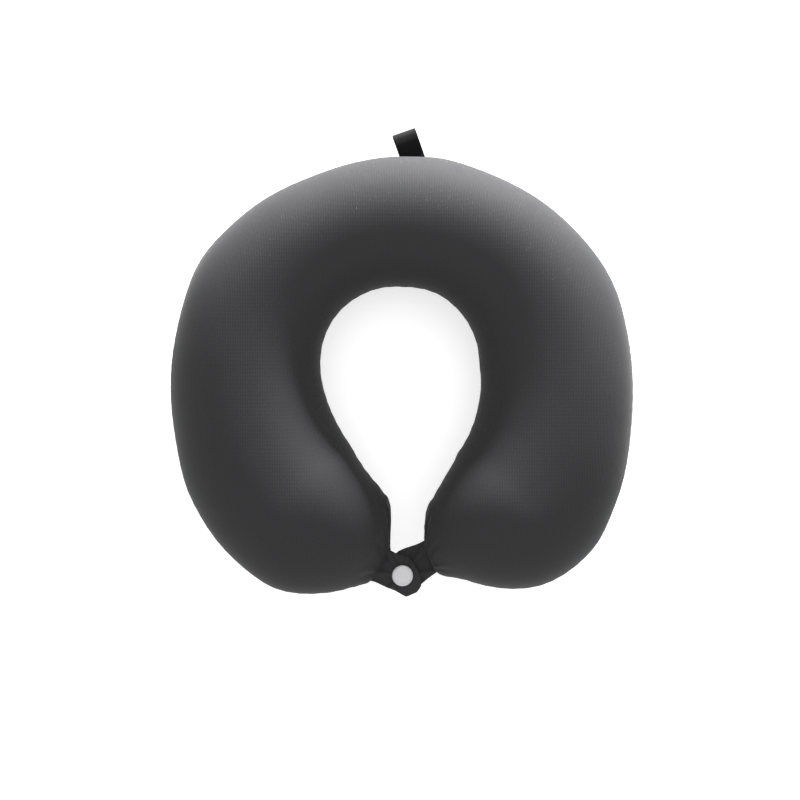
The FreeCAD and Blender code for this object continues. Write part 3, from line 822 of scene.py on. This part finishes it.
def build_cover(settings):
    """Top and bottom panels, each in a left and a right half that meet in the middle of the back."""
    material = knit_material(settings)
    shares = np.linspace(0, 1, settings.columns)
    settled = None
    settled = settle_cloth(settings.settle_cap / MM)
    crowds = {
        "top": (64, ((0, 6, 4), (180, 6, 4))),
        "bottom": (92, ((0, 6, 4), (-180, 6, 4), (-29, 9, 5))),
    }
    for panel, (first, last) in PANELS.items():
        count, crowded = crowds[panel]
        turns = spaced_turns(first, last, count, crowded)
        points = panel_points(panel, shares, turns, settings, settled)
        normals = grid_normals(points)
        middle = points.mean(0, keepdims=True)
        normals = normals * np.sign(np.sum(normals * (points - middle), axis=2).mean())
        pattern = flat_pattern(points, shares, turns)
        half = settings.columns - 1
        halves = {"left": slice(0, half + 1), "right": slice(half, None)}
        for side, part in halves.items():
            piece = cloth_object(
                f"{side}_cover_{panel}", points[:, part], normals[:, part], pattern[:, part],
                settings.wall / MM, material
            )
            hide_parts(f"back_cover_{panel}", f"{side}_arm_cover_{panel}")
            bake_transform(piece)


# How far inside the cover the bag and the beads lie, millimetres, and where along the side they end
BAG = {"inset": 4.4, "end": 0.91}
BEADS = {"inset": 5.6, "end": 0.89}


def tube_object(name, side, material, inset, end):
    """Closed stuffed form of one side, inside the cover."""
    shares = np.linspace(0, 1, 90)
    turns = np.linspace(0, 360, 56, endpoint=False)
    points = side_points(side, shares, turns, inset=inset, end=end)
    both = ring_points(shares, turns, inset=inset, end=end)
    points[:, 0] = both[:, len(shares) - 1]
    points = lay_on_zip(points, lambda sideways, beyond: -inset)
    height = points[..., 2] - inset
    points[..., 2] = (height + np.sqrt(height ** 2 + 0.9)) / 2 + inset
    item = new_object(name, points.reshape(-1, 3) * MM, tube_faces(*points.shape[:2]), material)
    weld(item)
    return item


def build_stuffing():
    """Inner bags and the beads in them, inside the cover."""
    bag = plain_cloth("white_bag_cloth", (0.78, 0.78, 0.77), 0.4 * MM)
    beads = bead_material()
    for side in SIDES:
        bag_piece = tube_object(f"{side}_bag", side, bag, **BAG)
        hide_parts("back_inner_bag", f"{side}_arm_inner_bag")
        fill_piece = tube_object(f"{side}_beads", side, beads, **BEADS)
        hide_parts("back_fill", f"{side}_arm_fill")
        for piece in (bag_piece, fill_piece):
            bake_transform(piece)


# Tabs -------------------------------------------------------------------------------------------

# Edges of the two cloth strips seen from above, millimetres, from the tip to the free end
TAB_EDGES = {
    "left": (
        (
            (-12, -97.6), (-8.8, -99.3), (-3.9, -101.9), (3.3, -104.2), (8.2, -110.5), (10.8, -116),
            (11.3, -120.5), (8.6, -125.4),
        ),
        (
            (-21.5, -118.4), (-17, -119.2), (-11.2, -121.8), (-3.9, -124.8), (0.3, -127.2),
            (2.2, -128), (5.5, -126.8), (8.4, -125.6),
        ),
    ),
    "right": (
        ((14.8, -93.4), (10.5, -95.8), (-3.9, -102), (-8, -107), (-9.6, -113), (-9.3, -115.8)),
        ((22, -112.6), (14.8, -117.9), (11.2, -120.9), (4, -124), (-4, -123), (-8.4, -119), (-9.3, -116)),
    ),
}
TAB_LEVELS = {
    "left": (LEFT_TAB_LOW.z + LEFT_TAB_HIGH.z) / 2 / MM,
    "right": (RIGHT_TAB_LOW.z + RIGHT_TAB_HIGH.z) / 2 / MM,
}


def tab_gathers(side, points, away):
    """Height of the gathers, which run from the sewn root towards the snap and die out there."""
    flat = points[..., :2] - np.array([SNAP_CENTRE.x, SNAP_CENTRE.y]) / MM
    spread = np.degrees(np.arctan2(flat[..., 1], flat[..., 0] * (-1 if side == "left" else 1)))
    rate = {"left": 7.5, "right": 8.5}[side]
    folds = np.sin(np.radians(spread) * rate + 0.8) + 0.45 * np.sin(np.radians(spread) * rate * 1.9)
    clear = smooth(5.6, 7.4, np.hypot(flat[..., 0], flat[..., 1]))
    return folds * clear * (1 - smooth(0.42, 0.75, away))


def tab_object(name, side, settings, wall, material, shrink=0.0):
    """Strip of cloth between its two edges, round along its rim and gathered at its root."""
    upper, lower = (smooth_path(edge, 72) for edge in TAB_EDGES[side])
    across = (1 - np.cos(np.linspace(0, math.pi, 44))) / 2
    across = shrink + across * (1 - 2 * shrink)
    flat = lower[:, None] * (1 - across[None, :, None]) + upper[:, None] * across[None, :, None]
    along = np.linspace(0, 1, len(upper))[:, None]
    keep = slice(0, int(len(upper) * (1 - shrink)))
    flat = flat[keep]
    along = along[keep]
    level = SEAM / MM + (TAB_LEVELS[side] - SEAM / MM) * smooth(-0.14, 0.26, along)
    level = np.broadcast_to(level, flat.shape[:2])
    place = np.concatenate([flat, level[..., None]], 2)
    level = level + settings.pleat_depth / MM * tab_gathers(side, place, along)
    share = (across - across[0]) / (across[-1] - across[0])
    edge = np.sqrt(np.clip(1 - (2 * share - 1) ** 10, 0, 1))
    tip = np.sqrt(np.clip(1 - smooth(0.97, 1.0, along / along[-1]) ** 2, 0, 1))
    half = wall / 2 * edge[None, :] * tip
    hem = 0.16 * bump(np.minimum(share, 1 - share)[None, :] * 20 - 2.4, 0.5)
    top = np.concatenate([flat, (level + half - hem)[..., None]], 2)
    low = np.concatenate([flat, (level - half + hem)[..., None]], 2)
    points = np.concatenate([top, low[:, ::-1]], 1)
    return strip_object(name, points, material, points[..., :2].reshape(-1, 2) * MM, 2e-6)


def build_tabs(settings):
    """Cloth tabs at the tips with their stiffener inside."""
    cloth = bpy.data.materials["charcoal_knit"]
    stiff = plain_cloth("white_interlining", (0.7, 0.7, 0.69), 0.5 * MM)
    for side in SIDES:
        tab = tab_object(f"{side}_tab_cloth", side, settings, settings.wall / MM, cloth)
        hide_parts(f"{side}_tab")
        core = tab_object(f"{side}_tab_stiffener", side, settings, 0.35, stiff, shrink=0.12)
        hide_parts(f"{side}_tab_interlining")
        for piece in (tab, core):
            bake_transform(piece)


# Snap -------------------------------------------------------------------------------------------

def build_snap(settings):
    """Cap and socket on the left tab, stud and back cap on the right tab."""
    resin = moulded_material("light_grey_resin", settings.colour, 0.42, Specular_IOR_Level=0.5)
    rim = settings.rim
    radius = (SNAP_HIGH.x - SNAP_LOW.x) / 2
    low, high = SNAP_LOW.z, SNAP_HIGH.z
    cap = rounded_profile(
        ((0, low), (radius, low), (radius, high - rim * 0.9), (radius - rim, high),
         (radius - rim * 1.9, high - 0.45 * MM), (0, high - 0.15 * MM)),
        (0, 0.2 * MM, 0.5 * MM, 0.35 * MM, 0.3 * MM, 0)
    )
    bore = 2.8 * MM
    radius = (SOCKET_HIGH.x - SOCKET_LOW.x) / 2
    low, high = SOCKET_LOW.z, SOCKET_HIGH.z
    socket = rounded_profile(
        ((bore, low), (radius - 1.2 * MM, low), (radius, low + 0.9 * MM), (radius, high),
         (bore + 0.6 * MM, high), (bore + 0.6 * MM, low + 1.1 * MM), (bore, low + 0.8 * MM)),
        (0.15 * MM, 0.3 * MM, 0.3 * MM, 0.15 * MM, 0.15 * MM, 0.1 * MM, 0.1 * MM)
    )
    radius = (STUD_HIGH.x - STUD_LOW.x) / 2
    low, high = STUD_LOW.z, STUD_HIGH.z
    flange = 0.7 * MM
    head = 2.1 * MM
    stud = rounded_profile(
        ((0, low), (radius, low), (radius, low + flange), (head - 0.4 * MM, low + flange),
         (head - 0.4 * MM, high - 1.3 * MM), (head, high - 0.7 * MM), (head - 0.3 * MM, high), (0, high)),
        (0, 0.15 * MM, 0.3 * MM, 0.15 * MM, 0.2 * MM, 0.2 * MM, 0.25 * MM, 0)
    )
    radius = (BACK_CAP_HIGH.x - BACK_CAP_LOW.x) / 2
    low, high = BACK_CAP_LOW.z, BACK_CAP_HIGH.z
    back_cap = rounded_profile(
        ((0, low + 0.15 * MM), (radius - rim * 1.9, low + 0.45 * MM), (radius - rim, low),
         (radius, low + rim * 0.9), (radius, high), (0, high)),
        (0, 0.3 * MM, 0.35 * MM, 0.5 * MM, 0.2 * MM, 0)
    )
    pieces = (
        ("cap_disc", cap, "snap_cap", "left_tab"), ("socket_ring", socket, "snap_socket", "left_tab"),
        ("stud_disc", stud, "snap_stud", "right_tab"),
        ("back_cap_disc", back_cap, "snap_back_cap", "right_tab"),
    )
    for name, profile, node, body in pieces:
        piece = turned_object(name, profile, SNAP_CENTRE, resin)
        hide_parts(node)
        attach(piece, body)


# Hang loop --------------------------------------------------------------------------------------

LOOP_ROOT = (5.8, 137.2)
LOOP_REACH = 15.6
LOOP_BOW = 3.9


def loop_path():
    """Middle line of the folded webbing: distance outwards and height, millimetres."""
    leg = smooth_path(
        ((-7, 0.8), (-3, 0.85), (1, 1.1), (5, 2.5), (8.5, 3.75), (LOOP_REACH - LOOP_BOW, LOOP_BOW)), 26
    )
    turn = np.linspace(90, -90, 26)[1:-1]
    bow = np.stack([
        LOOP_REACH - LOOP_BOW + LOOP_BOW * np.cos(np.radians(turn)) * 0.86,
        LOOP_BOW * np.sin(np.radians(turn)),
    ], 1)
    back = leg[::-1] * np.array([1, -1])
    return np.concatenate([leg, bow, back])


def build_loop(settings):
    """Strip of webbing, folded to a loop that leans to one side."""
    material = webbing_material(settings)
    path = loop_path()
    tangents = np.gradient(path, axis=0)
    tangents /= np.linalg.norm(tangents, axis=1, keepdims=True)
    outwards = np.stack([-tangents[:, 1], tangents[:, 0]], 1)
    width = settings.width / MM / 2
    half = settings.wall / MM / 2
    section = rounded_profile(
        ((-width, -half), (width, -half), (width, half), (-width, half)), (half * 0.9,) * 4, 4
    )
    section = np.array(section)
    wide = np.linspace(-1, 1, 22)[1:-1] * width * 0.94
    upper = np.stack([wide[::-1], np.full_like(wide, half)], 1)
    lower = np.stack([wide, np.full_like(wide, -half)], 1)
    quarter = len(section) // 4
    section = np.concatenate([
        section[:quarter], lower, section[quarter:3 * quarter], upper, section[3 * quarter:]
    ])
    lean = settings.lean
    along = np.array([-math.sin(lean), math.cos(lean)])
    aside = np.array([math.cos(lean), math.sin(lean)])
    walked = distance_along(path)
    points = np.empty((len(path), len(section), 3))
    for index, (place, out) in enumerate(zip(path, outwards)):
        reach = place[0] + section[:, 1] * out[0]
        height = place[1] + section[:, 1] * out[1]
        flat = np.array(LOOP_ROOT) + np.outer(reach, along) + np.outer(section[:, 0], aside)
        points[index] = np.column_stack([flat, SEAM / MM + height])
    pattern = np.stack(np.broadcast_arrays(section[None, :, 0], walked[:, None]), 2)
    piece = strip_object("webbing_loop", points, material, pattern.reshape(-1, 2) * MM)
    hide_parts("hang_loop")
    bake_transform(piece)


# Zip --------------------------------------------------------------------------------------------

SLIDER_ANGLE = 125.6
COIL_RADIUS = 132.7
WIRE_RADIUS = 0.28


def tape_object(name, way, material):
    """Woven tape of one side of the zip."""
    angles = np.linspace(*ZIP_ENDS, 220)
    across = np.array([0.6, 0.6, 1.2, 2.4, 3.6, TAPE_EDGE, TAPE_EDGE, 3.6, 2.4, 1.2])
    height = np.array([0.05, 0.45, 0.5, 0.5, 0.5, 0.45, 0.05, 0.0, 0.0, 0.0])
    points = zip_point(angles[:, None], way * across[None, :], height[None, :])
    return strip_object(name, points, material)


def coil_object(name, way, pitch, material):
    """Nylon coil of one side: a flattened spring whose turns lock into the other side's."""
    length = math.radians(ZIP_ENDS[1] - ZIP_ENDS[0] - 4) * COIL_RADIUS
    turns = int(length / pitch)
    steps = 14
    phase = np.arange(turns * steps + 1) / steps
    shift = 0 if way > 0 else 0.5
    angle = ZIP_ENDS[0] + 2 + (phase + shift * 0.9) / turns * (ZIP_ENDS[1] - ZIP_ENDS[0] - 4.6)
    turn = 2 * math.pi * phase
    sideways = 1.3 + 1.05 * np.cos(turn)
    height = 1.2 + 0.42 * np.sin(turn)
    centre = zip_point(angle, way * sideways, height)
    along = np.gradient(centre, axis=0)
    along /= np.linalg.norm(along, axis=1, keepdims=True)
    up = zip_point(angle, way * sideways, height + 1) - centre
    aside = np.cross(along, up)
    aside /= np.linalg.norm(aside, axis=1, keepdims=True)
    up = np.cross(aside, along)
    ring = np.linspace(0, 2 * math.pi, 6, endpoint=False)
    points = (
        centre[:, None] + WIRE_RADIUS * np.cos(ring)[None, :, None] * aside[:, None]
        + WIRE_RADIUS * np.sin(ring)[None, :, None] * up[:, None]
    )
    return strip_object(name, points, material)


def plate_object(name, outline, low, high, angle, material, holes=(), bevel=0.25):
    """Flat plate lying on the zip at an angle round the pillow: outline along and across it."""
    origin = Vector(zip_point(angle, 0.0, 0.0))
    up = (Vector(zip_point(angle, 0.0, 1.0)) - origin).normalized()
    along = (Vector(zip_point(angle + 0.2, 0.0, 0.0)) - origin).normalized()
    across = up.cross(along).normalized()
    work = bmesh.new()
    loops = [outline, *holes]
    edges = []
    for loop in loops:
        corners = [
            work.verts.new((origin + along * a + across * b + up * low) * MM) for a, b in loop
        ]
        for index, corner in enumerate(corners):
            edges.append(work.edges.new((corner, corners[(index + 1) % len(corners)])))
    bmesh.ops.triangle_fill(work, edges=edges, use_beauty=True)
    grown = bmesh.ops.extrude_face_region(work, geom=work.faces[:])
    lifted = [item for item in grown["geom"] if isinstance(item, bmesh.types.BMVert)]
    bmesh.ops.translate(work, verts=lifted, vec=up * (high - low) * MM)
    bmesh.ops.recalc_face_normals(work, faces=work.faces)
    bmesh.ops.dissolve_limit(
        work, angle_limit=math.radians(1), verts=work.verts, edges=work.edges
    )
    mesh = bpy.data.meshes.new(name)
    work.to_mesh(mesh)
    work.free()
    mesh.materials.append(material)
    item = bpy.data.objects.new(name, mesh)
    bpy.context.scene.collection.objects.link(item)
    if bevel:
        modifier = item.modifiers.new("Bevel", "BEVEL")
        modifier.width = bevel * MM
        modifier.segments = 3
        modifier.limit_method = "ANGLE"
        modifier.angle_limit = math.radians(35)
        bpy.context.view_layer.update()
        apply_modifiers(item)
    return item


def join_objects(name, items):
    """One object from several, under the first one's place."""
    work = bmesh.new()
    for item in items:
        work.from_mesh(item.data)
    mesh = bpy.data.meshes.new(name)
    work.to_mesh(mesh)
    work.free()
    mesh.materials.append(items[0].data.materials[0])
    for item in items:
        bpy.data.objects.remove(item)
    joined = bpy.data.objects.new(name, mesh)
    bpy.context.scene.collection.objects.link(joined)
    return joined


def build_zip(settings):
    """Tapes, coils, end stops, slider and puller."""
    tape = plain_cloth("zip_tape_cloth", settings.colour, 0.55 * MM, 0.8, 0.1)
    coil = moulded_material("zip_coil_nylon", shade(settings.colour, 1.1), 0.35)
    metal = moulded_material("zip_black_metal", (0.03, 0.03, 0.032), 0.32, Metallic=0.6)
    for label, way in (("upper", 1), ("lower", -1)):
        strip = tape_object(f"{label}_tape_strip", way, tape)
        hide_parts(f"zip_{label}_tape")
        spring = coil_object(f"{label}_coil_spring", way, settings.tooth_pitch / MM, coil)
        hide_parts(f"zip_{label}_coil")
        for piece in (strip, spring):
            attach(piece, "back")
    stop_outline = ((-0.9, -2.3), (0.9, -2.3), (0.9, 2.3), (-0.9, 2.3))
    for label, angle in (("open", ZIP_ENDS[0] + 1), ("closed", ZIP_ENDS[1] - 1)):
        stop = plate_object(f"{label}_end_stop_bar", stop_outline, 0.4, 2.1, angle, metal)
        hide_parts(f"zip_{label}_end_stop")
        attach(stop, "back")
    body_outline = (
        (-3.9, -2.5), (-1.4, -3.1), (2.4, -3.3), (3.9, -2.2), (3.9, 2.2), (2.4, 3.3), (-1.4, 3.1), (-3.9, 2.5)
    )
    flange = ((-3.4, 2.5), (2.4, 2.6), (2.4, 3.25), (-1.4, 3.05), (-3.4, 2.75))
    other_flange = tuple((a, -b) for a, b in reversed(flange))
    bail = ((-2.6, -0.8), (2.6, -0.8), (2.6, 0.8), (-2.6, 0.8))
    front_post = ((-2.6, -0.8), (-1.9, -0.8), (-1.9, 0.8), (-2.6, 0.8))
    back_post = tuple((-a, b) for a, b in reversed(front_post))
    slider = join_objects("slider_body", [
        plate_object("roof", body_outline, 2.15, 3.1, SLIDER_ANGLE, metal),
        plate_object("flange_up", flange, 0.75, 2.3, SLIDER_ANGLE, metal, bevel=0.1),
        plate_object("flange_down", other_flange, 0.75, 2.3, SLIDER_ANGLE, metal, bevel=0.1),
        plate_object("front_post", front_post, 3.0, 5.2, SLIDER_ANGLE, metal, bevel=0.1),
        plate_object("back_post", back_post, 3.0, 5.2, SLIDER_ANGLE, metal, bevel=0.1),
        plate_object("bail", bail, 5.0, 5.6, SLIDER_ANGLE, metal, bevel=0.2),
    ])
    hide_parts("zip_slider")
    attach(slider, "zip_slider")
    eye = tuple(
        (-14.2 + 2.0 * math.cos(turn), 1.3 * math.sin(turn))
        for turn in np.linspace(0, 2 * math.pi, 20, endpoint=False)
    )
    pivot_eye = ((-0.65, -1.1), (-0.65, 1.1), (-3.4, 1.1), (-3.4, -1.1))
    puller = plate_object(
        "puller_plate", puller_outline(), 3.75, 4.85, SLIDER_ANGLE, metal, holes=(eye, pivot_eye)
    )
    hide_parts("zip_puller")
    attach(puller, "zip_puller")


def puller_outline():
    """Outline of the puller: straight at its pivot, wide and rounded at its free end."""
    centre = -14.6
    end = [
        (centre - 2.4 * math.cos(turn), 2.4 * math.sin(turn))
        for turn in np.linspace(-math.pi / 2, math.pi / 2, 13)
    ]
    return [(0.65, 1.9), (0.65, -1.9), (-6.0, -1.9)] + end + [(-6.0, 1.9)]


# Stage ------------------------------------------------------------------------------------------

def area_lamp(name, place, target, size, power):
    """Rectangular lamp that looks at a point."""
    lamp = bpy.data.lights.new(name, "AREA")
    lamp.shape = "RECTANGLE"
    lamp.size, lamp.size_y = size
    lamp.energy = power
    item = bpy.data.objects.new(name, lamp)
    item.location = place
    item.rotation_euler = (Vector(target) - Vector(place)).to_track_quat("-Z", "Y").to_euler()
    bpy.context.scene.collection.objects.link(item)
    return item


def build_stage(settings):
    """White floor, soft lamps, camera straight above and a white world."""
    scene = bpy.context.scene
    floor_shader = Shader(
        "white_floor", settings.floor_colour, 0.9, Emission_Color=(1, 1, 1, 1), Emission_Strength=0.5
    )
    floor = new_object(
        "floor", [(-6, -6, -0.0002), (6, -6, -0.0002), (6, 6, -0.0002), (-6, 6, -0.0002)],
        [(0, 1, 2, 3)], floor_shader.material
    )
    middle = (-0.0015, -0.0097, 0.042)
    key = area_lamp("key_lamp", (0.45, 2.2, 0.19), middle, (0.9, 0.26), settings.key_power)
    top = area_lamp("top_lamp", (0.2, 0.3, 3.2), middle, (2.4, 2.4), settings.top_power)
    world = bpy.data.worlds.new("white_room")
    world.use_nodes = True
    world.node_tree.nodes["Background"].inputs["Color"].default_value = (1, 1, 1, 1)
    world.node_tree.nodes["Background"].inputs["Strength"].default_value = 0.9
    scene.world = world
    camera = bpy.data.cameras.new("camera_above")
    camera.lens = 176
    camera.sensor_width = 36
    camera.dof.use_dof = False
    camera_item = bpy.data.objects.new("camera_above", camera)
    camera_item.location = (middle[0], middle[1], settings.camera_distance)
    scene.collection.objects.link(camera_item)
    scene.camera = camera_item
    scene.view_settings.view_transform = "Standard"


# Operators and panel ----------------------------------------------------------------------------

class PILLOW_OT_cover(bpy.types.Operator):
    """Build the four halves of the cover's panels"""

    bl_idname = "pillow.build_cover"
    bl_label = "Build Cover"

    def execute(self, context):
        build_cover(context.scene.pillow_cover)
        return {"FINISHED"}


class PILLOW_OT_stuffing(bpy.types.Operator):
    """Build the inner bags and the beads"""

    bl_idname = "pillow.build_stuffing"
    bl_label = "Build Stuffing"

    def execute(self, context):
        build_stuffing()
        return {"FINISHED"}


class PILLOW_OT_tabs(bpy.types.Operator):
    """Build the cloth tabs and their stiffeners"""

    bl_idname = "pillow.build_tabs"
    bl_label = "Build Tabs"

    def execute(self, context):
        build_tabs(context.scene.pillow_tabs)
        return {"FINISHED"}


class PILLOW_OT_snap(bpy.types.Operator):
    """Build the four pieces of the snap"""

    bl_idname = "pillow.build_snap"
    bl_label = "Build Snap"

    def execute(self, context):
        build_snap(context.scene.pillow_snap)
        return {"FINISHED"}


class PILLOW_OT_loop(bpy.types.Operator):
    """Build the webbing hang loop"""

    bl_idname = "pillow.build_loop"
    bl_label = "Build Hang Loop"

    def execute(self, context):
        build_loop(context.scene.pillow_loop)
        return {"FINISHED"}


class PILLOW_OT_zip(bpy.types.Operator):
    """Build the zip"""

    bl_idname = "pillow.build_zip"
    bl_label = "Build Zip"

    def execute(self, context):
        build_zip(context.scene.pillow_zip)
        return {"FINISHED"}


class PILLOW_OT_stage(bpy.types.Operator):
    """Set up the floor, the lamps, the world and the camera"""

    bl_idname = "pillow.build_stage"
    bl_label = "Build Stage"

    def execute(self, context):
        build_stage(context.scene.pillow_stage)
        return {"FINISHED"}


class PILLOW_PT_sidebar(bpy.types.Panel):
    """Settings and build buttons"""

    bl_idname = "PILLOW_PT_sidebar"
    bl_label = "Neck Pillow"
    bl_space_type = "VIEW_3D"
    bl_region_type = "UI"
    bl_category = "Neck Pillow"

    def draw(self, context):
        for operator, settings_name in BUTTONS:
            box = self.layout.box()
            if settings_name:
                settings = getattr(context.scene, settings_name)
                for name in settings.__annotations__:
                    box.prop(settings, name)
            box.operator(operator.bl_idname)


BUTTONS = (
    (PILLOW_OT_cover, "pillow_cover"),
    (PILLOW_OT_stuffing, None),
    (PILLOW_OT_tabs, "pillow_tabs"),
    (PILLOW_OT_snap, "pillow_snap"),
    (PILLOW_OT_loop, "pillow_loop"),
    (PILLOW_OT_zip, "pillow_zip"),
    (PILLOW_OT_stage, "pillow_stage"),
)
CLASSES = tuple(SETTINGS.values()) + tuple(operator for operator, _ in BUTTONS) + (PILLOW_PT_sidebar,)


def register():
    for item in CLASSES:
        bpy.utils.register_class(item)
    for name, settings in SETTINGS.items():
        setattr(bpy.types.Scene, name, bpy.props.PointerProperty(type=settings))


def unregister():
    for name in SETTINGS:
        delattr(bpy.types.Scene, name)
    for item in reversed(CLASSES):
        bpy.utils.unregister_class(item)


def main():
    register()
    for operator, _ in BUTTONS:
        group, name = operator.bl_idname.split(".")
        getattr(getattr(bpy.ops, group), name)()


if __name__ == "__main__":
    main()
